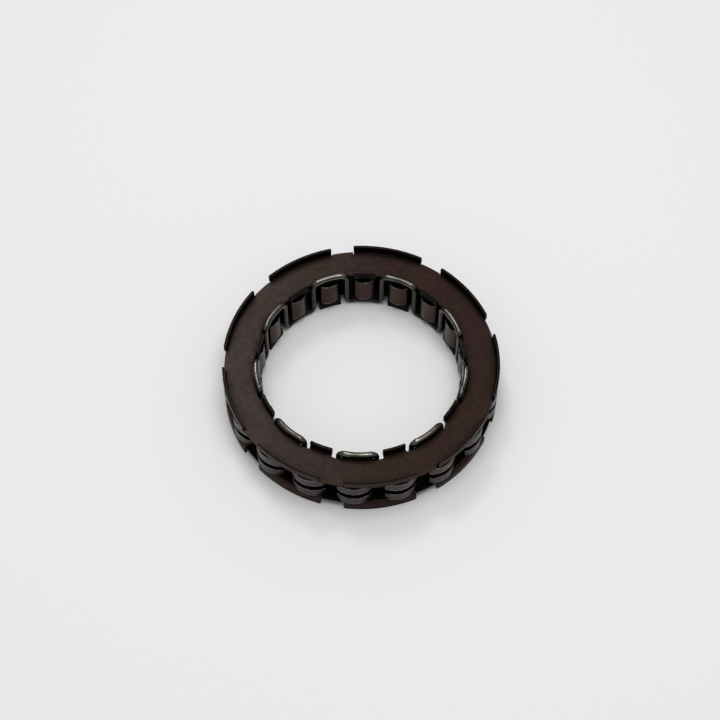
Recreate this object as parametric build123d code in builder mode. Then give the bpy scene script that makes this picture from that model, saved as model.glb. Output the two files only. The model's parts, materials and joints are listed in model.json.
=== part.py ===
"""Sprag clutch insert: eighteen cam sprags caged between two pressed side plates.

Millimetres. The clutch axis is Z, the origin lies on it at mid width. An outer tab is centred
on +X. Seen from +Z the sprags lock an inner race that turns clockwise and let it run anticlockwise.
"""

from build123d import *
from math import cos, radians, sin, sqrt
import os

os.makedirs("parts", exist_ok=True)

# ---------------------------------------------------------------- races the insert runs between
SHAFT_DIA = 42.10
OUTER_RACE_DIA = 58.76
WIDTH = 11.3
TAB_COUNT = 9

# ---------------------------------------------------------------- side plates, pressed sheet
SHEET = 0.5
BEND_INSIDE = 0.4
TAB_HEIGHT = 1.9
CAGE_TO_RACE = 0.18
CAGE_TO_SHAFT = 0.60
RIM_GAP_WIDTH = 4.9
RIM_SETBACK = 0.45
INNER_TAB_WIDTH = 4.9
LIP_HEIGHT = 0.1
TAB_CORNER = 0.25
NOTCH_SIDE = 0.15

# ---------------------------------------------------------------- meander spring, round wire
WIRE_DIA = 1.3
WIRE_FLAT_COUNT = 8
WIRE_BEND = 1.35
WIRE_TO_SHAFT = 0.40
WIRE_BELOW_TABS = 0.05
WIRE_TO_PLATE = 0.12

# ---------------------------------------------------------------- sprags
END_PLAY = 0.05
INNER_CAM = 3.0
OUTER_CAM = 5.1
INNER_CAM_OFFSET = 0.15
OUTER_CAM_OFFSET = -0.65
FOOT_PRELOAD = 0.05
HEAD_LIFT = 0.12
FOOT_HALF_WIDTH = 2.15
WAIST_HALF_WIDTH = 1.95
HEAD_LEADING = 3.5
HEAD_TRAILING = 4.05
SPRAG_CORNER = 0.22

# ---------------------------------------------------------------- garter spring in its groove
GARTER_COIL = 1.3
GARTER_FLAT_COUNT = 8
GROOVE_DEPTH = 4.45
GARTER_TO_GROOVE = 0.2
GARTER_TO_FLOOR = 0.6

# ---------------------------------------------------------------- derived sizes
BEND_FACET = 2 - sqrt(2)  # a facet that touches the arc of a bend, as a share of its radius
SPRAG_COUNT = 2 * TAB_COUNT
TAB_PITCH = 360 / TAB_COUNT
SPRAG_PITCH = 360 / SPRAG_COUNT
SHAFT_R = SHAFT_DIA / 2
RACE_R = OUTER_RACE_DIA / 2

top = WIDTH / 2
face = top - TAB_HEIGHT
underside = face - SHEET
cage_r = RACE_R - CAGE_TO_RACE
bore_r = SHAFT_R + CAGE_TO_SHAFT

wire_r = SHAFT_R + WIRE_TO_SHAFT + WIRE_DIA / 2
wire_top = top - WIRE_BELOW_TABS - WIRE_DIA / 2
wire_half_angle = SPRAG_PITCH / 2
leg_x = wire_r * cos(radians(SPRAG_PITCH / 2))
leg_y = wire_r * sin(radians(SPRAG_PITCH / 2))
notch_end = leg_x + WIRE_DIA / 2 + WIRE_TO_PLATE
notch_near = INNER_TAB_WIDTH / 2
notch_far = leg_y + WIRE_DIA / 2 + NOTCH_SIDE
notch_depth = notch_end - bore_r + SHEET

sprag_half = underside - END_PLAY
foot_r = SHAFT_R - FOOT_PRELOAD
head_r = RACE_R - HEAD_LIFT
inner_cam_r = sqrt((foot_r + INNER_CAM) ** 2 - INNER_CAM_OFFSET**2)
outer_cam_r = sqrt((head_r - OUTER_CAM) ** 2 - OUTER_CAM_OFFSET**2)
waist_r = (foot_r + head_r) / 2 - 0.6
groove_floor = head_r - GROOVE_DEPTH
groove_width = GARTER_COIL + 2 * GARTER_TO_GROOVE
garter_r = groove_floor + GARTER_TO_FLOOR + GARTER_COIL / 2


def at_angle(radius, degrees, z=0.0):
    """Point at a radius and an angle about the clutch axis."""
    return Vector(radius * cos(radians(degrees)), radius * sin(radians(degrees)), z)


# ================================================================ side plates
with BuildPart() as upper_side_plate:
    # channel section, turned up at the rim and at the bore, each bend as one facet
    with BuildSketch(Plane.XZ) as channel:
        with BuildLine():
            Polyline(
                (bore_r, underside),
                (cage_r, underside),
                (cage_r, top),
                (cage_r - SHEET, top),
                (cage_r - SHEET, face),
                (bore_r + SHEET, face),
                (bore_r + SHEET, top),
                (bore_r, top),
                close=True,
            )
        make_face()
        chamfer(channel.vertices().group_by(Axis.Y)[0], length=BEND_FACET * (BEND_INSIDE + SHEET))
        chamfer(channel.vertices().filter_by_position(Axis.Y, face, face), length=BEND_FACET * BEND_INSIDE)
    revolve(axis=Axis.Z)

    # gaps that part the outer flange into tabs, with the web's rim set straight behind them
    for level, inset in ((underside, RIM_SETBACK), (face, SHEET + BEND_INSIDE)):
        with BuildSketch(Plane.XY.offset(level)):
            with PolarLocations(cage_r - inset, TAB_COUNT, start_angle=TAB_PITCH / 2):
                Rectangle(inset + SHEET, RIM_GAP_WIDTH, align=(Align.MIN, Align.CENTER))
        extrude(amount=top - level, mode=Mode.SUBTRACT)

    # the bore flange stays tall over every second sprag and low under the wire loops
    with BuildSketch(Plane.XY.offset(face + LIP_HEIGHT)):
        Circle(bore_r + SHEET + BEND_INSIDE)
        with PolarLocations(bore_r, TAB_COUNT, start_angle=TAB_PITCH / 4):
            Rectangle(6 * SHEET, INNER_TAB_WIDTH, mode=Mode.SUBTRACT)
    extrude(amount=top - face, mode=Mode.SUBTRACT)

    # notches beside the tall tabs, where the legs of the wire pass through
    with BuildSketch(Plane.XY.offset(underside)):
        with PolarLocations(0, TAB_COUNT, start_angle=TAB_PITCH / 4):
            for side in (-1, 1):
                with Locations((notch_end - notch_depth / 2, side * (notch_near + notch_far) / 2)):
                    Rectangle(notch_depth, notch_far - notch_near)
    extrude(amount=top - underside, mode=Mode.SUBTRACT)

    # broken free corners of the tabs
    tab_ends = upper_side_plate.edges().filter_by(GeomType.LINE).filter_by_position(Axis.Z, top, top)
    chamfer(tab_ends, length=TAB_CORNER)

upper_side_plate.part.label = "upper_side_plate"
export_step(upper_side_plate.part, "parts/upper_side_plate.step")

# the lower plate is the same pressing turned over about the diameter through an outer tab
with BuildPart() as lower_side_plate:
    add(upper_side_plate.part.rotate(Axis.X, 180))
lower_side_plate.part.label = "lower_side_plate"
export_step(lower_side_plate.part, "parts/lower_side_plate.step")

# ================================================================ meander spring
# One round wire that crosses over the upper plate and under the lower plate in turn. Its
# section is an eight-sided prism of the wire's diameter, which keeps the many bends light.
with BuildPart() as meander_spring:
    with BuildLine() as wire_path:
        for span in range(SPRAG_COUNT):
            side = 1 if span % 2 else -1
            start = at_angle(wire_r, span * SPRAG_PITCH)
            end = at_angle(wire_r, (span + 1) * SPRAG_PITCH)
            forward = at_angle(WIRE_BEND, span * SPRAG_PITCH + 90)
            backward = at_angle(WIRE_BEND, (span + 1) * SPRAG_PITCH - 90)
            leg_end = Vector(0, 0, side * (wire_top - WIRE_BEND))
            loop_level = Vector(0, 0, side * wire_top)
            up = Vector(0, 0, side)
            TangentArc(start + leg_end, start + forward + loop_level, tangent=up)
            TangentArc(start + forward + loop_level, end + backward + loop_level, tangent=forward)
            TangentArc(end + backward + loop_level, end + leg_end, tangent=-backward)
            Line(end + leg_end, end - leg_end)
    with BuildSketch(Plane(origin=at_angle(wire_r, 0), z_dir=(0, 0, 1))):
        RegularPolygon(WIRE_DIA / 2, WIRE_FLAT_COUNT)
    sweep(path=wire_path.wire())

meander_spring.part.label = "meander_spring"
export_step(meander_spring.part, "parts/meander_spring.step")

# ================================================================ garter spring
with BuildPart() as garter_spring:
    with BuildSketch(Plane.XZ):
        with Locations((garter_r, 0)):
            RegularPolygon(GARTER_COIL / 2, GARTER_FLAT_COUNT)
    revolve(axis=Axis.Z)
garter_spring.part.label = "garter_spring"
export_step(garter_spring.part, "parts/garter_spring.step")


# ================================================================ sprags
def on_cam(cam_r, cam_offset, cam_radius, offset, outward):
    """Point of a cam circle at a sideways offset, on its outer or its inner half."""
    rise = sqrt(cam_radius**2 - (offset - cam_offset) ** 2)
    return (cam_r + outward * rise, offset)


def make_sprag(degrees):
    """One sprag at an angle: two cams with offset centres, a waist and the spring groove."""
    head_lead = on_cam(outer_cam_r, OUTER_CAM_OFFSET, OUTER_CAM, OUTER_CAM_OFFSET - HEAD_LEADING, 1)
    head_trail = on_cam(outer_cam_r, OUTER_CAM_OFFSET, OUTER_CAM, OUTER_CAM_OFFSET + HEAD_TRAILING, 1)
    foot_lead = on_cam(inner_cam_r, INNER_CAM_OFFSET, INNER_CAM, -FOOT_HALF_WIDTH, -1)
    foot_trail = on_cam(inner_cam_r, INNER_CAM_OFFSET, INNER_CAM, FOOT_HALF_WIDTH, -1)
    local = Plane.XY.rotated((0, 0, degrees))

    with BuildPart() as sprag:
        with BuildSketch(local.offset(-sprag_half)):
            with BuildLine():
                ThreePointArc(head_lead, (outer_cam_r + OUTER_CAM, OUTER_CAM_OFFSET), head_trail)
                ThreePointArc(head_trail, (waist_r, WAIST_HALF_WIDTH), foot_trail)
                ThreePointArc(foot_trail, (inner_cam_r - INNER_CAM, INNER_CAM_OFFSET), foot_lead)
                ThreePointArc(foot_lead, (waist_r, -WAIST_HALF_WIDTH), head_lead)
            outline = make_face()
            chamfer(outline.vertices(), length=SPRAG_CORNER)
        extrude(amount=2 * sprag_half)
        # groove across the head for the garter spring
        with BuildSketch(local.offset(-groove_width / 2)):
            with Locations((groove_floor, 0)):
                Rectangle(GROOVE_DEPTH + 1, 3 * HEAD_TRAILING, align=(Align.MIN, Align.CENTER))
        extrude(amount=groove_width, mode=Mode.SUBTRACT)
    return sprag


for number in range(SPRAG_COUNT):
    sprag = make_sprag((number + 0.5) * SPRAG_PITCH)
    sprag.part.label = f"sprag_{number + 1:02d}"
    export_step(sprag.part, f"parts/{sprag.part.label}.step")
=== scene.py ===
"""Dresses a caged sprag clutch insert and lights it on a pale studio floor.

The clutch is a ring of eighteen cam sprags between two pressed side plates. A round spring wire
meanders over and under the plates to hold them apart, and a garter spring coiled round the
sprags' grooves leans every sprag against both races.

Lengths are in metres. The clutch axis is Z, and an outer tab is centred on +X.
"""

import json
import logging
import math
from dataclasses import dataclass
from enum import Enum

import bpy
from mathutils import Matrix, Vector
from mathutils.geometry import delaunay_2d_cdt, intersect_point_line


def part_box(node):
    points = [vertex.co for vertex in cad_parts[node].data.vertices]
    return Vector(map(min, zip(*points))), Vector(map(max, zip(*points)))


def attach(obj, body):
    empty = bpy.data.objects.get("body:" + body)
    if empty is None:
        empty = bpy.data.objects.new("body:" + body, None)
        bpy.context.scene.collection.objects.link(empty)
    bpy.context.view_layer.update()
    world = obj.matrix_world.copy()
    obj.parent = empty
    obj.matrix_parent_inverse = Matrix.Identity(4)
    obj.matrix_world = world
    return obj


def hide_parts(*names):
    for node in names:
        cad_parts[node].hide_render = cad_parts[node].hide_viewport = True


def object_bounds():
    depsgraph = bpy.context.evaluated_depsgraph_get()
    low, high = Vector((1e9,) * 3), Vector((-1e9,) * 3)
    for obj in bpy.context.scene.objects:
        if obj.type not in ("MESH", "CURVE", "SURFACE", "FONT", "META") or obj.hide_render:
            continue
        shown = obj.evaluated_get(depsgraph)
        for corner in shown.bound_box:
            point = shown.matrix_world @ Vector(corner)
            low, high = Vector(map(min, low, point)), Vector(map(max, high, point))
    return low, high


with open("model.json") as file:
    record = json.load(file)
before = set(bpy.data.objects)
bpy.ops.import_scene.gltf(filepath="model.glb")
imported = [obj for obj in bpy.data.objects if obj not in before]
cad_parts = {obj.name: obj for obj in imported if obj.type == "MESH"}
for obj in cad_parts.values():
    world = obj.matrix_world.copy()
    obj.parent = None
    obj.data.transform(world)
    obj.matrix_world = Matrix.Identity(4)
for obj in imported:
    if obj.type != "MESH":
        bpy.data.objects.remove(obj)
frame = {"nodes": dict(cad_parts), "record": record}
cad_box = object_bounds()

MM = 0.001
LOG = logging.getLogger("sprag_clutch")

CLOSE = 1e-6  # places on the sheet that are nearer than this count as one
LENGTH_GRID = 1e8  # steps to the metre on which a sheet's points are welded
ANGLE_GRID = 1e4  # steps to the degree on which they are welded
KEEP_INSIDE = 1  # the triangulation's option to keep only what lies inside its border
MERGE_WITHIN = 1e-5  # how near the triangulation takes two points for one, in millimetres

Triple = tuple[float, float, float]
Colour = Triple
Corner = Triple  # its way along the sheet, its distance aside and its radius
Node = bpy.types.Node
Socket = bpy.types.NodeSocket
Object = bpy.types.Object


# ======== small helpers
def ring_point(radius: float, degrees: float, height: float = 0.0) -> Vector:
    """Gives a point by its distance and angle about the clutch axis and its height above mid width."""
    angle = math.radians(degrees)
    return Vector((radius * math.cos(angle), radius * math.sin(angle), height))


def mount_radius(name: str) -> float:
    """Reads the radius of one of the clutch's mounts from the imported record, in metres."""
    mounts = {mount["name"]: mount for mount in frame["record"]["mounts"]}
    return mounts[name]["dims"]["r_mm"] * MM


def in_scene(name: str, data: bpy.types.ID) -> Object:
    """Makes an object of its data and adds it to the scene."""
    made = bpy.data.objects.new(name, data)
    bpy.context.scene.collection.objects.link(made)
    return made


def mesh_object(name: str, points: list[Vector], faces: list[list[int]]) -> Object:
    """Makes a smoothly shaded mesh object and adds it to the scene.

    Args:
        name: Its name.
        points: The mesh's points.
        faces: Its faces, each the numbers of its points.

    Returns:
        The new object.
    """
    mesh = bpy.data.meshes.new(name)
    mesh.from_pydata(points, [], faces)
    mesh.polygons.foreach_set("use_smooth", [True] * len(mesh.polygons))
    mesh.update()
    return in_scene(name, mesh)


# ======== node building
class Tree:
    """Adds and joins shader nodes in one tree."""

    def __init__(self, tree: bpy.types.NodeTree) -> None:
        """Keeps the material's or node group's tree that nodes are added to."""
        self.tree = tree

    def add(self, kind: str, **settings: object) -> Node:
        """Adds a node, sets its properties and fills or joins its inputs.

        Args:
            kind: The node's type, without the ShaderNode prefix.
            **settings: Properties by name. A name that starts with in_ fills the input of that
                name, with spaces for underscores, and one that starts with at_ the input of that
                number, by a value or by an output to join.

        Returns:
            The node.
        """
        node = self.tree.nodes.new(f"ShaderNode{kind}")
        for name, value in settings.items():
            if name.startswith("in_"):
                self.fill(node, name[3:].replace("_", " "), value)
            elif name.startswith("at_"):
                self.fill(node, int(name[3:]), value)
            else:
                setattr(node, name, value)
        return node

    def fill(self, node: Node, place: str | int, value: object) -> None:
        """Fills one input of a node.

        Args:
            node: The node.
            place: The input's name or number.
            value: A plain value, or an output socket to join.
        """
        if isinstance(value, Socket):
            self.tree.links.new(value, node.inputs[place])
        else:
            node.inputs[place].default_value = value

    def group(self, name: str, **values: float) -> bpy.types.NodeOutputs:
        """Adds a node group.

        Args:
            name: The group's name.
            **values: Values of its inputs by name.

        Returns:
            Its outputs.
        """
        node = self.add("Group", node_tree=Group.made[name])
        for label, value in values.items():
            self.fill(node, label, value)
        return node.outputs

    def here(self) -> Socket:
        """Adds the place of the spot that is shaded, in the clutch's own frame."""
        return self.add("TexCoord").outputs["Object"]

    def math(self, operation: str, *values: object) -> Socket:
        """Adds a maths node.

        Args:
            operation: Blender's name of the operation.
            *values: The inputs in order.

        Returns:
            The result's socket.
        """
        node = self.add("Math", operation=operation)
        for place, value in enumerate(values):
            self.fill(node, place, value)
        return node.outputs[0]

    def mix(self, factor: object, low: object, high: object) -> Socket:
        """Mixes two colours.

        Args:
            factor: The share of the second colour.
            low: The first colour.
            high: The second colour.

        Returns:
            The mixed colour's socket.
        """
        node = self.add("Mix", data_type="RGBA", at_0=factor)  # its colours go in at 6 and 7 and out at 2
        for place, colour in ((6, low), (7, high)):
            self.fill(node, place, (*colour, 1.0) if isinstance(colour, tuple) else colour)
        return node.outputs[2]

    def spread(self, value: object, low: float, high: float) -> Socket:
        """Stretches the part of a value between two levels to the whole of 0 to 1.

        Args:
            value: The value.
            low: The level that becomes 0.
            high: The level that becomes 1.

        Returns:
            The stretched value's socket.
        """
        node = self.add("MapRange", clamp=True)
        for place, item in enumerate((value, low, high)):
            self.fill(node, place, item)
        return node.outputs[0]


class Group:
    """A shader node group with named inputs and outputs, built once and used in many materials."""

    made: dict[str, bpy.types.ShaderNodeTree] = {}

    def __init__(self, name: str, inputs: dict[str, float], outputs: dict[str, str]) -> None:
        """Opens a new group.

        Args:
            name: The group's name.
            inputs: Number inputs with their usual values.
            outputs: Outputs by name, each Float, Color or Vector.
        """
        self.group = bpy.data.node_groups.new(name, "ShaderNodeTree")
        for label, value in inputs.items():
            socket = self.group.interface.new_socket(label, in_out="INPUT", socket_type="NodeSocketFloat")
            socket.default_value = value
        for label, kind in outputs.items():
            self.group.interface.new_socket(label, in_out="OUTPUT", socket_type=f"NodeSocket{kind}")
        self.tree = Tree(self.group)
        self.given = self.group.nodes.new("NodeGroupInput").outputs
        self.result = self.group.nodes.new("NodeGroupOutput")
        Group.made[name] = self.group


class Effects:
    """The node groups that several finishes share.

    Each pair holds the levels that become 0 and 1 in a mask.
    """

    open_samples = 6
    edge_openness = (0.92, 0.45)
    edge_breaks = (0.38, 0.62)
    dent_edge = (0.42, 0.12)
    dent_waver = 0.0012
    waver_scale = 900.0
    shade_openness = (0.80, 0.52)
    pit_edge = (0.16, 0.04)
    pit_depth = 0.8
    line_levels = (0.3, 0.7)

    def build(self) -> None:
        """Builds every group once."""
        self.mottle()
        self.edge_rub_and_glint()
        self.fine_grain()
        self.draw_lines()
        self.crevices()
        self.nicks()
        LOG.info("built %d shared node groups", len(Group.made))

    def mottle(self) -> None:
        """Broad soft patches, clouds in them and fine specks, as heat and oil leave on oxide."""
        outputs = {"Patches": "Float", "Clouds": "Float", "Specks": "Float"}
        group = Group("mottle", {"Patch": 110.0, "Cloud": 900.0, "Speck": 3200.0}, outputs)
        tree = group.tree
        place = tree.here()
        layers = (
            ("Patches", "Patch", 3.0, 0.12),
            ("Clouds", "Cloud", 4.0, 0.15),
            ("Specks", "Speck", 2.0, 0.17),
        )
        for label, scale, detail, reach in layers:
            noise = tree.add("TexNoise", in_Vector=place, in_Scale=group.given[scale], in_Detail=detail)
            tree.fill(group.result, label, tree.spread(noise.outputs[0], 0.5 - reach, 0.5 + reach))

    def edge_rub_and_glint(self) -> None:
        """Outer edges lightened, as rubbed metal and as a painted glint, broken up by a noise."""
        group = Group("edge wear", {"Reach": 0.00012, "Break": 900.0}, {"Mask": "Float"})
        tree = group.tree
        near = tree.add("AmbientOcclusion", samples=self.open_samples, inside=True, only_local=True,
                        in_Distance=group.given["Reach"])
        edge = tree.spread(near.outputs["AO"], *self.edge_openness)
        rub = tree.add("TexNoise", in_Vector=tree.here(), in_Scale=group.given["Break"], in_Detail=3.0)
        broken = tree.spread(rub.outputs[0], *self.edge_breaks)
        tree.fill(group.result, "Mask", tree.math("MULTIPLY", edge, broken))

    def nicks(self) -> None:
        """Short shallow dents and rubs, scattered, as handling leaves on wire."""
        group = Group("nicks", {"Size": 650.0, "Share": 0.3}, {"Height": "Float", "Mask": "Float"})
        tree = group.tree
        place = tree.here()
        bent = tree.add("TexNoise", in_Vector=place, in_Scale=self.waver_scale).outputs["Color"]
        offset = tree.add("VectorMath", operation="SCALE", at_0=bent, in_Scale=self.dent_waver)
        moved = tree.add("VectorMath", operation="ADD", at_0=place, at_1=offset.outputs[0])
        cells = tree.add("TexVoronoi", in_Vector=moved.outputs[0], in_Scale=group.given["Size"])
        chance = tree.add("SeparateColor", at_0=cells.outputs["Color"]).outputs[0]
        chosen = tree.math("LESS_THAN", chance, group.given["Share"])
        dent = tree.spread(cells.outputs["Distance"], *self.dent_edge)
        mask = tree.math("MULTIPLY", chosen, dent)
        tree.fill(group.result, "Mask", mask)
        tree.fill(group.result, "Height", tree.math("MULTIPLY", mask, -1.0))

    def crevices(self) -> None:
        """Painted shade: how closed in a spot is, so that crevices and hollows are darkened where shade
        falls.
        """
        group = Group("crevices", {"Reach": 0.004}, {"Mask": "Float"})
        tree = group.tree
        near = tree.add("AmbientOcclusion", samples=self.open_samples, in_Distance=group.given["Reach"])
        tree.fill(group.result, "Mask", tree.spread(near.outputs["AO"], *self.shade_openness))

    def fine_grain(self) -> None:
        """Fine tumbled grain as a height, with scattered small pits."""
        group = Group("fine grain", {"Grain": 9000.0, "Pits": 2600.0}, {"Height": "Float", "Pits": "Float"})
        tree = group.tree
        place = tree.here()
        grain = tree.add("TexNoise", in_Vector=place, in_Scale=group.given["Grain"], in_Detail=3.0)
        pits = tree.add("TexVoronoi", in_Vector=place, in_Scale=group.given["Pits"])
        pit = tree.spread(pits.outputs["Distance"], *self.pit_edge)
        height = tree.math("SUBTRACT", grain.outputs[0], tree.math("MULTIPLY", pit, self.pit_depth))
        tree.fill(group.result, "Height", height)
        tree.fill(group.result, "Pits", pit)

    def draw_lines(self) -> None:
        """Long fine lines along the width, as grinding and drawing leave."""
        group = Group("draw lines", {"Across": 16000.0, "Along": 500.0}, {"Lines": "Float"})
        tree = group.tree
        across = group.given["Across"]
        scale = tree.add("CombineXYZ", at_0=across, at_1=across, at_2=group.given["Along"])
        stretched = tree.add("VectorMath", operation="MULTIPLY", at_0=tree.here(), at_1=scale.outputs[0])
        lines = tree.add("TexNoise", in_Vector=stretched.outputs[0], in_Scale=1.0, in_Detail=2.0)
        tree.fill(group.result, "Lines", tree.spread(lines.outputs[0], *self.line_levels))


# ======== finishes
@dataclass(frozen=True)
class Tint:
    """A second colour that takes over with the distance from a place.

    Attributes:
        colour: Its main colour.
        patch: Colour of its broad patches.
        axes: How much each axis counts in the distance.
        none: Distance where it doesn't show.
        full: Distance where it shows fully.
        place: The place.
        cloud: Scale of the clouds that break it up.
        broken: How far they do.
    """

    colour: Colour
    patch: Colour
    axes: Triple
    none: float
    full: float
    place: Triple = (0.0, 0.0, 0.0)
    cloud: float = 900.0
    broken: float = 0.0

    def over(self, tree: Tree, colour: Socket) -> Socket:
        """Lays the tint over a colour.

        Args:
            tree: The material's tree.
            colour: The colour below it.

        Returns:
            The tinted colour.
        """
        away = tree.add("VectorMath", operation="SUBTRACT", at_0=tree.here(), at_1=self.place)
        counted = tree.add("VectorMath", operation="MULTIPLY", at_0=away.outputs[0], at_1=self.axes)
        distance = tree.add("VectorMath", operation="LENGTH", at_0=counted.outputs[0]).outputs["Value"]
        mottle = tree.group("mottle", Cloud=self.cloud)
        whole = tree.math("MULTIPLY_ADD", mottle["Clouds"], -self.broken, 1.0)
        mask = tree.math("MULTIPLY", tree.spread(distance, self.none, self.full), whole)
        return tree.mix(mask, colour, tree.mix(mottle["Patches"], self.colour, self.patch))


@dataclass(frozen=True)
class Finish:
    """A finish: its colours, how rough it is, and how far its edges are rubbed bare and lit by a painted
    glint.

    Attributes:
        name: The material's name.
        base: Main colour.
        patch: Colour of the broad patches.
        bare_and_glint: Colour of rubbed edges and of their painted glint.
        rough: Usual roughness.
        rough_swing: How far roughness varies.
        metallic: Share of metal in the surface.
        gloss: How strongly a surface that isn't metal mirrors.
        relief: Depth of the grain.
        cloud: How far the clouds darken it.
        speck: How far the specks lighten and darken it.
        rub_and_glint: How far the edges take that colour.
        edge: How far the lightened band reaches in from an edge.
        crevice_shade: How dark the painted shade makes the crevices.
        pit_rough: How much rougher the pits are.
        lines: How strongly lines along the width show, if at all.
        nick_depth: How deep the nicks are, if there are any.
        nick_rough: How much rougher the nicks are.
        tint: Second colour, if it has one.
    """

    name: str
    base: Colour
    patch: Colour
    bare_and_glint: Colour
    rough: float
    rough_swing: float = 0.1
    metallic: float = 1.0
    gloss: float = 0.5
    relief: float = 4e-6
    cloud: float = 0.3
    speck: float = 0.3
    rub_and_glint: float = 0.8
    edge: float = 0.12 * MM
    crevice_shade: float = 0.92
    pit_rough: float = 0.15
    lines: float = 0.0
    nick_depth: float = 0.0
    nick_rough: float = 0.25
    tint: Tint | None = None

    def material(self) -> bpy.types.Material:
        """Builds the material and gives it back."""
        material = bpy.data.materials.new(self.name)
        material.use_nodes = True
        material.node_tree.nodes.clear()
        tree = Tree(material.node_tree)
        shader = tree.add("BsdfPrincipled")
        output = tree.add("OutputMaterial")
        tree.fill(output, "Surface", shader.outputs[0])
        shader.inputs["Metallic"].default_value = self.metallic
        shader.inputs["Specular IOR Level"].default_value = self.gloss
        self.dress(tree, shader)
        return material

    def dress(self, tree: Tree, shader: Node) -> None:
        """Adds the finish's colour, roughness and relief to the shader.

        Args:
            tree: The material's tree.
            shader: The Principled shader.
        """
        mottle = tree.group("mottle")
        grain = tree.group("fine grain")
        colour = tree.mix(mottle["Patches"], self.base, self.patch)
        shade = tree.math("MULTIPLY_ADD", mottle["Clouds"], -self.cloud, 1 + self.cloud / 2)
        speck = tree.math("MULTIPLY_ADD", mottle["Specks"], self.speck, 1 - self.speck / 2)
        tone = tree.math("MULTIPLY", shade, speck)
        toned = tree.add("VectorMath", operation="SCALE", at_0=colour, in_Scale=tone).outputs[0]
        tinted = self.tint.over(tree, toned) if self.tint else toned
        tree.fill(shader, "Base Color", self.edges_and_shade(tree, tinted))
        swing = tree.math("MULTIPLY_ADD", mottle["Clouds"], self.rough_swing, self.rough)
        pits = tree.math("MULTIPLY", grain["Pits"], self.pit_rough)
        rough = tree.math("ADD", swing, pits)
        self.emboss(tree, shader, grain["Height"], 1.0, self.relief)
        if self.lines:
            self.emboss(tree, shader, tree.group("draw lines")["Lines"], self.lines, self.relief)
        if self.nick_depth:
            nicks = tree.group("nicks")
            rough = tree.math("MULTIPLY_ADD", nicks["Mask"], self.nick_rough, rough)
            self.emboss(tree, shader, nicks["Height"], 1.0, self.nick_depth)
        tree.fill(shader, "Roughness", rough)

    def emboss(self, tree: Tree, shader: Node, height: Socket, strength: float, depth: float) -> None:
        """Lays a relief over any that the shader has.

        Args:
            tree: The material's tree.
            shader: The Principled shader.
            height: The relief's height, from 0 to 1.
            strength: How strongly it shows.
            depth: How deep it goes.
        """
        bump = tree.add("Bump", in_Strength=strength, in_Distance=depth, in_Height=height)
        below = shader.inputs["Normal"].links
        if below:
            tree.fill(bump, "Normal", below[0].from_socket)
        tree.fill(shader, "Normal", bump.outputs[0])

    def edges_and_shade(self, tree: Tree, colour: Socket) -> Socket:
        """Lightens the edges, as rubbed metal and as a painted glint, and darkens the crevices with painted
        shade.

        Args:
            tree: The material's tree.
            colour: The finish's colour.

        Returns:
            The colour with its lightened edges and painted shade.
        """
        rub_and_glint = tree.group("edge wear", Reach=self.edge)
        colour = tree.mix(tree.math("MULTIPLY", rub_and_glint["Mask"], self.rub_and_glint), colour, self.bare_and_glint)
        crevice_shade = tree.group("crevices")
        return tree.mix(tree.math("MULTIPLY", crevice_shade["Mask"], self.crevice_shade), colour, PAINTED_SHADE)


# Near black: the colour painted into crevices and hollows as shade.
PAINTED_SHADE: Colour = (0.001, 0.0008, 0.0007)
# Painted sheen: the oxide is lightened and greyed towards -X, where the left softbox's reflection falls.
PAINTED_SHEEN = (0.056, 0.041, 0.034)
PAINTED_SHEEN_SIDE = Tint(PAINTED_SHEEN, PAINTED_SHEEN, (1, 0, 0), 39 * MM, 0.0, place=(-33 * MM, 0, 0), broken=0.3)
INNER_CAMS = Tint((0.038, 0.0155, 0.0130), (0.039, 0.0200, 0.0100), (1, 1, 0), 25.5 * MM, 21.5 * MM)
# The wire's crowns, farthest from mid width, are lighter: partly rubbed wire, partly a painted highlight
# for the lamps' streaks on the loops' tops.
WIRE_RUB_AND_SHEEN = (0.17, 0.157, 0.14)
CROWN_RUB_AND_SHEEN = Tint(
    WIRE_RUB_AND_SHEEN, WIRE_RUB_AND_SHEEN, (0, 0, 1), 4.55 * MM, 5.05 * MM, cloud=300.0, broken=0.7,
)
BLACK_OXIDE = Finish(
    "black_oxide", (0.0300, 0.0145, 0.0138), (0.0300, 0.0168, 0.0112), (0.07, 0.05, 0.042), 0.28,
    metallic=0.0, gloss=0.035, speck=0.7, rub_and_glint=0.3, crevice_shade=1.0, tint=PAINTED_SHEEN_SIDE,
)
# Near-black oxide: painted shade on the bore flanges, in the rim folds and on the faces inside the cage,
# and also the colour of the cut edges' torn half.
SHADE_AND_TORN_OXIDE = Finish(
    "shade_and_torn_oxide", (0.006, 0.0035, 0.003), (0.005, 0.0035, 0.0025), (0.03, 0.025, 0.022), 0.5,
    metallic=0.0, gloss=0.05, rub_and_glint=0.1,
)
# Its edges turn far lighter than the steel as a painted glint, standing in for the lamps' highlight on the
# end chamfers, as well as rubbing.
SPRAG_STEEL = Finish(
    "satin_sprag_steel", (0.050, 0.039, 0.036), (0.042, 0.032, 0.028), (0.55, 0.52, 0.50), 0.30,
    rub_and_glint=1.0, edge=0.25 * MM, lines=0.35, tint=INNER_CAMS,
)
SPRING_WIRE = Finish(
    "spring_wire", (0.042, 0.040, 0.037), (0.034, 0.031, 0.028), (0.3, 0.29, 0.27), 0.17,
    rough_swing=0.08, nick_depth=0.05 * MM, tint=CROWN_RUB_AND_SHEEN,
)
COIL_STEEL = Finish("coil_steel", (0.08, 0.075, 0.07), (0.06, 0.056, 0.052), (0.25, 0.24, 0.22), 0.26)


# ======== sub-assemblies
class Body(Enum):
    """The rigid bodies that pieces ride on."""

    CAGE = "cage"


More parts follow.
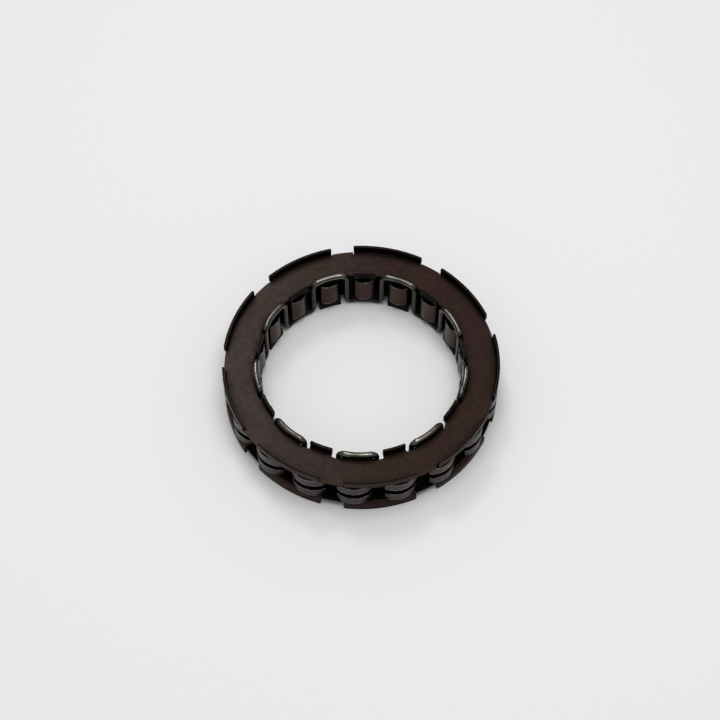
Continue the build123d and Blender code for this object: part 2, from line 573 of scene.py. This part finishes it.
@dataclass
class Channel:
    """The plates' section: a flat web with a flange turned up at the bore and at the rim.

    A place on the sheet is its way along the middle of the sheet, from the free edge at the bore
    to the free edge at the rim, and its angle about the clutch axis.
    """

    bore: float
    rim: float
    face: float
    top: float
    sheet: float
    bend: float

    def __post_init__(self) -> None:
        """Works out how far along the sheet each bend begins and ends."""
        self.fold = self.bend + self.sheet / 2
        self.flange = self.top - self.face - self.bend
        self.arc = self.fold * math.pi / 2
        self.web_start = self.flange + self.arc
        self.web_radius = self.bore + self.sheet + self.bend
        self.web_end = self.web_start + self.rim - self.sheet - self.bend - self.web_radius
        self.length = self.web_end + self.arc + self.flange

    def section(self, along: float, flat: bool) -> Triple:
        """Finds a place on the section.

        Args:
            along: Way along the sheet from the bore's free edge.
            flat: Whether the sheet stays flat past the outer bend, as it does in a rim gap.

        Returns:
            Its radius, its height, and how far the sheet leans up there, in radians.
        """
        if along < self.web_start:
            lean = max((along - self.web_start) / self.fold, -math.pi / 2)
            middle, straight = self.web_radius, max(self.flange - along, 0.0)
        elif along > self.web_end and not flat:
            lean = min((along - self.web_end) / self.fold, math.pi / 2)
            middle = self.rim - self.sheet - self.bend
            straight = max(along - self.web_end - self.arc, 0.0)
        else:
            return self.web_radius + along - self.web_start, self.face - self.sheet / 2, 0.0
        height = self.face + self.bend - self.fold * math.cos(lean) + straight
        return middle + self.fold * math.sin(lean), height, lean

    def web_along(self, out: float, aside: float) -> float:
        """Tells how far along the sheet a place on the web is, from its way out and aside of a tab."""
        return self.web_start + math.hypot(out, aside) - self.web_radius

    def raised(self, height: float) -> float:
        """Tells how far along the sheet the inner bend stands at a height above the face."""
        return self.web_start - self.fold * math.acos((self.bend - height) / self.fold)


@dataclass(frozen=True)
class Spot:
    """A place on the blank: its way along the sheet, its angle, and whether it stays flat there."""

    along: float
    angle: float
    flat: bool = False


@dataclass
class Blank:
    """One tab pitch of a side plate's outline, before it is bent.

    Attributes:
        channel: The section that the blank is bent to.
        pitch: Angle from tab to tab in degrees.
        wire_leg: Where a leg of the wire passes, out along the inner tab's middle line and aside.
        wire: Diameter of the wire.
        rim_setback: How far the web's edge in a rim gap stands back from the tabs' outer faces.
        relief: Width of the cut that parts a rim tab's bend from the web.
        overlong: How far a step may pass the longest one, as a share of it.
    """

    channel: Channel
    pitch: float
    wire_leg: tuple[float, float]
    wire: float
    inner_tab: float = 4.9 * MM
    rim_gap: float = 4.9 * MM
    rim_setback: float = 0.45 * MM
    lip: float = 0.1 * MM
    wire_to_web: float = 0.10 * MM
    wire_to_lip: float = 0.08 * MM
    corner: float = 0.3 * MM
    notch_corner: float = 0.3 * MM
    lip_corner: float = 0.08 * MM
    relief: float = 0.12 * MM
    step_along: float = 0.17 * MM
    step_round: float = 0.75 * MM
    corner_steps: int = 4
    overlong: float = 0.01

    def bore_edge(self) -> list[Spot]:
        """Draws the edge at the bore: a low lip, a notch, a tall tab, a notch and the lip again."""
        channel = self.channel
        lip = channel.raised(self.lip)
        far = self.wire_leg[1] + self.wire / 2 + self.wire_to_lip
        near = self.inner_tab / 2
        reach = self.wire_leg[0] + self.wire / 2 + self.wire_to_web
        half = [
            (lip, -far, self.lip_corner),
            (channel.web_along(reach, far), -far, self.wire / 2),
            (channel.web_along(reach, near), -near, self.notch_corner),
            (0.0, -near, self.corner),
        ]
        return self.edge(half, self.pitch / 4, (-self.pitch / 4, self.pitch * 3 / 4), False)

    def rim_edge(self) -> list[Spot]:
        """Draws the edge at the rim: a tab, the gap with its straight web, and the next tab."""
        channel = self.channel
        half_gap = self.rim_gap / 2
        tongue = half_gap - self.relief
        reach = channel.rim - self.rim_setback
        fillet = self.relief / 2.1  # under half the cut's width, so that its two fillets stay apart
        half = [
            (channel.length, half_gap, self.corner),
            (channel.web_end, half_gap, fillet),
            (channel.web_end, tongue, fillet),
            (channel.web_along(reach, tongue), tongue, self.relief),
        ]
        return self.edge(half, self.pitch / 2, (self.pitch * 3 / 4, -self.pitch / 4), True)

    def rounded(self, corners: list[Corner]) -> list[tuple[float, float]]:
        """Rounds the corners of a line that runs straight into its first and out of its last corner.

        Args:
            corners: The corners in order.

        Returns:
            The points of the line.
        """
        spots = [Vector(corner[:2]) for corner in corners]
        first = spots[0] + Vector((0, spots[0].y - spots[-1].y))
        last = spots[-1] + Vector((0, spots[-1].y - spots[0].y))
        line = []
        for before, spot, after, corner in zip([first, *spots], spots, [*spots[1:], last], corners):
            into = (spot - before).normalized()
            out = (after - spot).normalized()
            turn = into.angle_signed(out)
            inward = (out - into).normalized()
            centre = spot + inward * corner[2] / math.cos(turn / 2)
            arm = spot - into * corner[2] * math.tan(abs(turn) / 2) - centre
            for step in range(self.corner_steps + 1):
                swing = Matrix.Rotation(-turn * step / self.corner_steps, 2)
                line.append(tuple(centre + swing @ arm))
        return line

    def edge(self, half: list[Corner], middle: float, ends: tuple[float, float], gap: bool) -> list[Spot]:
        """Lays an edge that is alike on both sides of a middle angle.

        Args:
            half: Its corners up to the middle.
            middle: The middle angle in degrees.
            ends: The angles where this pitch's edge starts and ends.
            gap: Whether what lies inside the relief cuts is the flat web of a rim gap.

        Returns:
            The edge's spots.
        """
        corners = [*half, *((along, -aside, radius) for along, aside, radius in half[::-1])]
        start, end = (Spot(half[0][0], angle) for angle in ends)
        spots = [start]
        for along, aside in self.rounded(corners):
            flat = gap and abs(aside) < (self.rim_gap - self.relief) / 2
            radius = self.channel.section(along, flat)[0]
            spots.append(Spot(along, middle + math.degrees(math.asin(aside / radius)), flat))
        return self.divided([*spots, end])

    def divided(self, line: list[Spot]) -> list[Spot]:
        """Divides a line finely enough to follow the bends and the ring."""
        made = [line[0]]
        for before, after in zip(line, line[1:]):
            arc = math.radians(after.angle - before.angle) * self.channel.rim
            parts = max(abs(after.along - before.along) / self.step_along, abs(arc) / self.step_round)
            count = max(math.ceil(parts - self.overlong), 1)
            for part in range(1, count + 1):
                share = part / count
                along = before.along + (after.along - before.along) * share
                angle = before.angle + (after.angle - before.angle) * share
                flat = after.flat if share > 0.5 else before.flat
                made.append(Spot(along, angle, flat))
        return made

    def in_painted_shade(self, spots: list[Spot], side: int) -> bool:
        """Tells whether a face is painted near black as shade: the folds, the bore and the inside of the
        cage.

        Args:
            spots: The face's corners.
            side: 1 for the side the flanges are turned to, -1 for the side towards the sprags.

        Returns:
            Whether it is painted as shade.
        """
        channel = self.channel
        bore = all(spot.along < channel.web_start + CLOSE for spot in spots)
        rim = all(spot.along > channel.web_end - CLOSE and not spot.flat for spot in spots)
        return bore or rim == (side > 0)

    def on_plan(self, spot: Spot) -> Vector:
        """Gives a spot's place on a flat plan, in millimetres."""
        round_way = math.radians(spot.angle) * self.channel.section(spot.along, spot.flat)[0]
        return Vector((spot.along, round_way)) / MM

    def inset(self, line: list[Spot], depth: float) -> list[Spot]:
        """Moves an edge into the sheet.

        Args:
            line: The edge, with the sheet on its right.
            depth: How far to move it.

        Returns:
            The moved edge.
        """
        made = []
        for place, spot in enumerate(line):
            inward = self.inward(line, place)
            radius = self.channel.section(spot.along, spot.flat)[0]
            angle = spot.angle + math.degrees(inward.y * depth / radius)
            made.append(Spot(spot.along + inward.x * depth, angle, spot.flat))
        return made

    def inward(self, line: list[Spot], place: int) -> Vector:
        """Finds which way the sheet lies from an edge, long enough to keep the inset even."""
        here = line[place]
        ways = []
        for other, sign in ((place - 1, 1), (place + 1, -1)):
            if 0 <= other < len(line):
                radius = self.channel.section(here.along, here.flat)[0]
                round_way = math.radians(here.angle - line[other].angle) * radius * sign
                way = Vector(((here.along - line[other].along) * sign, round_way)).normalized()
                ways.append(Vector((way.y, -way.x)))
        if len(ways) == 1:
            return Vector((math.copysign(1.0, ways[0].x), 0.0))
        return (ways[0] + ways[1]) / (1 + ways[0].dot(ways[1]))


@dataclass
class SidePlates:
    """The two pressed side plates, bent up at bore and rim and black oxided.

    Attributes:
        wire: The wire that the notches leave room for.
        edge: Radius of the rounds along the cut edge.
        burnished: Where the cut edge turns torn, as a share of half its flat height.
        clear: Least distance from the points on a face to its outline.
    """

    wire: "MeanderSpring"
    sheet: float = 0.5 * MM
    bend: float = 0.4 * MM
    tab_height: float = 1.9 * MM
    clear_of_shaft: float = 0.60 * MM
    tabs: int = 9
    edge: float = 0.06 * MM
    burnished: float = 0.6
    web_steps: int = 6
    bend_steps: int = 6
    columns: int = 20
    clear: float = 0.13 * MM

    def build(self) -> None:
        """Builds both plates, the lower one turned over about the X axis."""
        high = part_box("upper_side_plate")[1]
        bore = mount_radius("shaft_bore") + self.clear_of_shaft
        channel = Channel(bore, high.x, high.z - self.tab_height, high.z, self.sheet, self.bend)
        leg = ring_point(self.wire.leg_radius(), 180 / self.wire.spans)
        blank = Blank(channel, 360 / self.tabs, (leg.x, leg.y), self.wire.wire)
        # The second material is the near-black painted shade.
        materials = (BLACK_OXIDE.material(), SHADE_AND_TORN_OXIDE.material())
        for name, turn in (("upper", 0), ("lower", 180)):
            plate = self.press(f"{name}_plate", blank, Matrix.Rotation(math.radians(turn), 3, "X"))
            for material in materials:
                plate.data.materials.append(material)
            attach(plate, Body.CAGE.value)
            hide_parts(f"{name}_side_plate")
            LOG.info("pressed %s, %d faces", plate.name, len(plate.data.polygons))

    def levels(self) -> list[Triple]:
        """Lists the rounds over the sheet's cut edge: each one's inset, height and tilt."""
        flat = self.sheet / 2 - self.edge
        rounds = []
        for side, tilts in ((1, (90, 45, 0)), (self.burnished, (0,)), (-1, (0, -45, -90))):
            for tilt in tilts:
                angle = math.radians(tilt)
                height = side * flat + self.edge * math.sin(angle)
                rounds.append((self.edge * (1 - math.cos(angle)), height, angle))
        return rounds

    def press(self, name: str, blank: Blank, turned: Matrix) -> Object:
        """Bends the blank up into one plate.

        Args:
            name: The plate's name.
            blank: One pitch of its outline.
            turned: Which way up the plate lies.

        Returns:
            The plate's object.
        """
        edges = (blank.bore_edge(), blank.rim_edge())
        levels = self.levels()
        insets = [[blank.inset(edge, level[0]) for level in levels] for edge in edges]
        spots, triangles = self.triangles(blank, insets[0][0], insets[1][0])
        sheet = BentSheet(blank.channel)
        for tab in range(self.tabs):
            turn = tab * blank.pitch
            for level in (0, len(levels) - 1):
                side = 1 if level == 0 else -1
                height = side * self.sheet / 2
                corners = [sheet.point(spot, turn, level, height, None, side) for spot in spots]
                for triangle in triangles:
                    sheet.faces.append([corners[corner] for corner in triangle[::side]])
                    sheet.shade_and_torn.append(blank.in_painted_shade([spots[corner] for corner in triangle], side))
            for edge, rows in zip(edges, insets):
                ways = [-blank.inward(edge, place) for place in range(len(edge))]
                rims = []
                for level, (row, (_, height, tilt)) in enumerate(zip(rows, levels)):
                    up = math.sin(tilt)
                    placed = zip(row, ways)
                    rims.append([sheet.point(spot, turn, level, height, way, up) for spot, way in placed])
                for level, (upper, lower) in enumerate(zip(rims, rims[1:])):
                    # The torn half of the cut edge takes the near-black oxide as well.
                    shade_and_torn = level >= len(rims) // 2
                    for place in range(len(edge) - 1):
                        sheet.faces.append([upper[place], upper[place + 1], lower[place + 1], lower[place]])
                        sheet.shade_and_torn.append(shade_and_torn)
        return sheet.made(name, turned)

    def triangles(
        self, blank: Blank, bore: list[Spot], rim: list[Spot]
    ) -> tuple[list[Spot], list[list[int]]]:
        """Divides the face of one pitch of the blank.

        Args:
            blank: The blank.
            bore: Its edge at the bore.
            rim: Its edge at the rim.

        Returns:
            The spots, and triangles of their numbers.
        """
        channel = blank.channel
        rows = [channel.flange / 2]
        for begin, reach, count in (
            (channel.flange, channel.arc, self.bend_steps),
            (channel.web_start, channel.web_end - channel.web_start, self.web_steps),
            (channel.web_end, channel.arc, self.bend_steps),
        ):
            rows += [begin + reach * step / count for step in range(count)]
        rows += [channel.web_end + channel.arc, channel.length - channel.flange / 2]
        start, end = bore[0].angle, bore[-1].angle
        sides = [row for row in rows if bore[0].along + self.clear < row < rim[0].along]
        loop = list(bore) + [Spot(row, end) for row in sides]
        loop += list(rim) + [Spot(row, start) for row in sides[::-1]]
        plan = [blank.on_plan(spot) for spot in loop]
        spots = list(loop)
        gap = blank.pitch / 2
        for row in rows:
            for column in range(1, self.columns):
                angle = start + (end - start) * column / self.columns
                inside_gap = abs(math.sin(math.radians(angle - gap))) * channel.rim < blank.rim_gap / 2
                spot = Spot(row, angle, inside_gap and row > channel.web_end)
                place = blank.on_plan(spot)
                if surrounds(plan, place) and clearance(plan, place) > self.clear / MM:
                    spots.append(spot)
        corners = [blank.on_plan(spot) for spot in spots]
        border = list(range(len(loop)))[::-1]
        _, _, faces, sources, *_ = delaunay_2d_cdt(corners, [], [border], KEEP_INSIDE, MERGE_WITHIN)
        triangles = []
        for face in faces:
            a, b, c = (sources[corner][0] for corner in face)
            ahead = (corners[b] - corners[a]).cross(corners[c] - corners[a]) > 0
            triangles.append([a, b, c] if ahead else [a, c, b])
        return spots, triangles


class BentSheet:
    """A bent sheet as it is made: its points, each welded to any other at the same spot, and its faces."""

    def __init__(self, channel: Channel) -> None:
        """Starts an empty sheet that is bent to a section."""
        self.channel = channel
        self.numbers: dict[tuple[int, int, int, bool], int] = {}
        self.points: list[Vector] = []
        self.normals: list[Vector] = []
        self.faces: list[list[int]] = []
        self.shade_and_torn: list[bool] = []

    def point(
        self, spot: Spot, turn: float, level: int, height: float, way: Vector | None, up: float
    ) -> int:
        """Adds a point, or finds the one that is there.

        Args:
            spot: Its place on the blank.
            turn: How far round the plate this pitch lies, in degrees.
            level: Which round over the edge it is on.
            height: Its distance from the middle of the sheet.
            way: Which way the cut edge looks on the sheet, or none on a face.
            up: How far its normal tilts out of the sheet, from -1 to 1.

        Returns:
            The point's number.
        """
        angle = spot.angle + turn
        around = round(angle * ANGLE_GRID) % round(360 * ANGLE_GRID)
        key = (round(spot.along * LENGTH_GRID), around, level, spot.flat)
        if key not in self.numbers:
            radius, rise, lean = self.channel.section(spot.along, spot.flat)
            outward = ring_point(1.0, angle)
            beside = ring_point(1.0, angle + 90)
            along = outward * math.cos(lean) + Vector((0, 0, math.sin(lean)))
            normal = along.cross(beside)
            self.numbers[key] = len(self.points)
            self.points.append(ring_point(radius, angle, rise) + normal * height)
            level_part = Vector() if way is None else (along * way.x + beside * way.y).normalized()
            self.normals.append((level_part * math.sqrt(max(1 - up * up, 0.0)) + normal * up).normalized())
        return self.numbers[key]

    def made(self, name: str, turned: Matrix) -> Object:
        """Makes the object.

        Args:
            name: The object's name.
            turned: Which way up it lies.

        Returns:
            The new object.
        """
        made = mesh_object(name, [turned @ point for point in self.points], self.faces)
        made.data.polygons.foreach_set("material_index", [int(shade_and_torn) for shade_and_torn in self.shade_and_torn])
        made.data.normals_split_custom_set_from_vertices([turned @ normal for normal in self.normals])
        return made


def surrounds(loop: list[Vector], place: Vector) -> bool:
    """Tells whether a closed line goes round a place."""
    inside = False
    for before, after in zip(loop, [*loop[1:], loop[0]]):
        if (before.y > place.y) != (after.y > place.y):
            across = before.x + (place.y - before.y) / (after.y - before.y) * (after.x - before.x)
            inside ^= place.x < across
    return inside


def clearance(loop: list[Vector], place: Vector) -> float:
    """Gives the least distance from a closed line to a place."""
    least = math.inf
    for before, after in zip(loop, [*loop[1:], loop[0]]):
        share = min(max(intersect_point_line(place, before, after)[1], 0.0), 1.0)
        least = min(least, (before + (after - before) * share - place).length)
    return least


@dataclass
class Sprags:
    """The eighteen cam sprags, satin ground."""

    prefix: str = "sprag_"

    def build(self) -> None:
        """Dresses every sprag."""
        material = SPRAG_STEEL.material()
        names = sorted(name for name in frame["nodes"] if name.startswith(self.prefix))
        for name in names:
            materials = frame["nodes"][name].data.materials
            for place in range(len(materials)):
                materials[place] = material
        LOG.info("dressed %d sprags", len(names))


@dataclass
class MeanderSpring:
    """The round wire that crosses over the upper and under the lower plate in turn."""

    wire: float = 1.3 * MM
    bend: float = 1.35 * MM
    clear_of_shaft: float = 0.40 * MM
    spans: int = 18
    sides: int = 24
    bend_steps: int = 8
    span_steps: int = 14

    def leg_radius(self) -> float:
        """Gives the radius of the circle that the wire's legs stand on."""
        return mount_radius("shaft_bore") + self.clear_of_shaft + self.wire / 2

    def loop(self, span: int, level: float) -> list[Vector]:
        """Works out one loop: round a bend from a leg, across a sprag, and round the next bend.

        Args:
            span: The sprag's number. The wire passes under the even ones and over the odd ones.
            level: How far the crossing's centre line is from mid width.

        Returns:
            The loop's points.
        """
        pitch = 360 / self.spans
        first, last = span * pitch, (span + 1) * pitch
        up = Vector((0, 0, 1 if span % 2 else -1))
        half = math.radians(pitch / 2)
        turns = [math.radians(90 * step / self.bend_steps) for step in range(self.bend_steps)]
        ends, bends = [], []
        for degrees, quarter in ((first, 90), (last, -90)):
            leg = ring_point(self.leg_radius(), degrees)
            way = ring_point(1.0, degrees + quarter)
            ends.append(leg + way * self.bend)
            bend = []
            for turn in turns:
                rise = (level - self.bend) + self.bend * math.sin(turn)
                bend.append(leg + up * rise + way * self.bend * (1 - math.cos(turn)))
            bends.append(bend)
        radius = (ends[1] - ends[0]).length / 2 / math.sin(half)
        centre = (ends[0] + ends[1]) / 2 - ring_point(radius * math.cos(half), first + pitch / 2)
        angles = [first + pitch * step / self.span_steps for step in range(self.span_steps + 1)]
        crossing = [centre + ring_point(radius, angle) + up * level for angle in angles]
        return bends[0] + crossing + bends[1][::-1]

    def build(self) -> None:
        """Builds the wire as a smooth closed tube."""
        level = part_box("meander_spring")[1].z - self.wire / 2
        path = [point for span in range(self.spans) for point in self.loop(span, level)]
        wire = tube("meander_wire", path, self.wire / 2, self.sides)
        wire.data.materials.append(SPRING_WIRE.material())
        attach(wire, Body.CAGE.value)
        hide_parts("meander_spring")
        LOG.info("built meander wire, %d points round", len(wire.data.vertices) // self.sides)


@dataclass
class GarterSpring:
    """The coil spring that lies in the sprags' grooves."""

    wire: float = 0.26 * MM
    pitch: float = 0.34 * MM
    steps: int = 12
    sides: int = 6

    def build(self) -> None:
        """Builds the coil as one helix bent round the clutch."""
        low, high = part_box("garter_spring")
        coil = high.z - low.z
        radius = high.x - coil / 2
        turns = int(math.tau * radius / self.pitch)
        reach = (coil - self.wire) / 2
        points = []
        for step in range(turns * self.steps):
            wound = math.tau * step / self.steps
            angle = 360 * step / (turns * self.steps)
            points.append(ring_point(radius + reach * math.cos(wound), angle, reach * math.sin(wound)))
        coil_spring = tube("garter_coil", points, self.wire / 2, self.sides)
        coil_spring.data.materials.append(COIL_STEEL.material())
        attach(coil_spring, Body.CAGE.value)
        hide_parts("garter_spring")
        LOG.info("built garter coil with %d turns", turns)


def tube(name: str, path: list[Vector], radius: float, sides: int) -> Object:
    """Sweeps a round section along a closed path without twist.

    Args:
        name: The piece's name.
        path: The centre line's points, the last of which joins the first.
        radius: The section's radius.
        sides: Corners of the section.

    Returns:
        The new object.
    """
    count = len(path)
    tangents = [(path[(place + 1) % count] - path[place - 1]).normalized() for place in range(count)]
    side = tangents[0].orthogonal().normalized()
    sides_at = [side]
    for place in range(1, count):
        turn = tangents[place - 1].rotation_difference(tangents[place])
        side = turn @ side
        side = (side - tangents[place] * side.dot(tangents[place])).normalized()
        sides_at.append(side)
    last = tangents[-1].rotation_difference(tangents[0]) @ sides_at[-1]
    first = sides_at[0]
    twist = math.atan2(last.cross(first).dot(tangents[0]), last.dot(first))
    verts = []
    for place, point in enumerate(path):
        across = sides_at[place].copy()
        across.rotate(Matrix.Rotation(twist * place / count, 3, tangents[place]))
        other = tangents[place].cross(across)
        for corner in range(sides):
            angle = math.tau * corner / sides
            verts.append(point + radius * (across * math.cos(angle) + other * math.sin(angle)))
    faces = []
    for place in range(count):
        here, after = place * sides, (place + 1) % count * sides
        for corner in range(sides):
            beside = (corner + 1) % sides
            faces.append([here + corner, here + beside, after + beside, after + corner])
    return mesh_object(name, verts, faces)


# ======== studio
@dataclass(frozen=True)
class Softbox:
    """A square softbox that looks at the clutch: where it hangs, its side and its power in watts."""

    name: str
    place: Triple
    side: float
    power: float


@dataclass
class Studio:
    """The pale floor, the soft lamps and the camera."""

    floor_tone: float = 0.83
    floor_rough: float = 0.9
    floor_reach: float = 4.0
    elevation: float = 59.06
    turn: float = 1.9
    distance: float = 407 * MM
    lens: float = 93.73
    sensor: float = 36.0
    clip: tuple[float, float] = (0.01, 20.0)
    aim: tuple[float, float] = (-0.22 * MM, 6.87 * MM)
    sky: float = 0.45
    horizon: float = 0.2
    horizon_ends: tuple[float, float] = (0.1, 0.6)
    softboxes: tuple[Softbox, ...] = (
        Softbox("overhead_softbox", (0.05, -0.02, 0.7), 0.42, 2.5),
        Softbox("left_softbox", (-0.15, 0.42, 0.7), 0.22, 1.2),
    )

    def build(self) -> None:
        """Builds the floor, the light and the camera."""
        self.floor()
        self.world()
        self.lamps()
        self.camera()

    def floor(self) -> None:
        """Lays a matt floor under the lower tabs."""
        signs = ((-1, -1), (1, -1), (1, 1), (-1, 1))
        corners = [Vector((x * self.floor_reach, y * self.floor_reach, cad_box[0].z)) for x, y in signs]
        floor = mesh_object("floor", corners, [[0, 1, 2, 3]])
        material = bpy.data.materials.new("floor_paper")
        material.use_nodes = True
        shader = material.node_tree.nodes["Principled BSDF"]
        shader.inputs["Base Color"].default_value = (self.floor_tone,) * 3 + (1.0,)
        shader.inputs["Roughness"].default_value = self.floor_rough
        shader.inputs["Specular IOR Level"].default_value = 0.0
        floor.data.materials.append(material)

    def world(self) -> None:
        """Fills the room with plain soft light."""
        world = bpy.data.worlds.new("room")
        bpy.context.scene.world = world
        world.use_nodes = True
        tree = Tree(world.node_tree)
        background = world.node_tree.nodes["Background"]
        background.inputs["Color"].default_value = (1.0, 1.0, 1.0, 1.0)
        upward = tree.add("SeparateXYZ", at_0=tree.add("TexCoord").outputs["Generated"]).outputs["Z"]
        high = tree.spread(upward, *self.horizon_ends)
        light = tree.math("MULTIPLY_ADD", high, self.sky - self.horizon, self.horizon)
        tree.fill(background, "Strength", light)

    def lamps(self) -> None:
        """Hangs a large softbox over the clutch and a smaller one to its left."""
        for softbox in self.softboxes:
            lamp = bpy.data.lights.new(softbox.name, "AREA")
            lamp.shape = "SQUARE"
            lamp.size = softbox.side
            lamp.energy = softbox.power
            box = in_scene(softbox.name, lamp)
            box.location = softbox.place
            box.rotation_euler = (-box.location).to_track_quat("-Z", "Y").to_euler()

    def camera(self) -> None:
        """Places the camera."""
        data = bpy.data.cameras.new("camera")
        data.lens = self.lens
        data.sensor_width = self.sensor
        data.clip_start, data.clip_end = self.clip
        camera = in_scene("camera", data)
        rise = math.radians(self.elevation)
        aim = Vector((*self.aim, cad_box[0].z))
        back = Vector((0, -math.cos(rise), math.sin(rise)))
        turn = Matrix.Rotation(math.radians(self.turn), 3, "Z")
        camera.location = turn @ (aim + back * self.distance)
        camera.rotation_mode = "QUATERNION"
        camera.rotation_quaternion = (turn @ -back).to_track_quat("-Z", "Y")
        bpy.context.scene.camera = camera


def main() -> None:
    """Builds the dressed clutch and its studio."""
    logging.basicConfig(level=logging.INFO, format="%(message)s")
    Effects().build()
    wire = MeanderSpring()
    SidePlates(wire).build()
    Sprags().build()
    wire.build()
    GarterSpring().build()
    Studio().build()
    bpy.context.scene.view_settings.view_transform = "Standard"


if __name__ == "__main__":
    main()
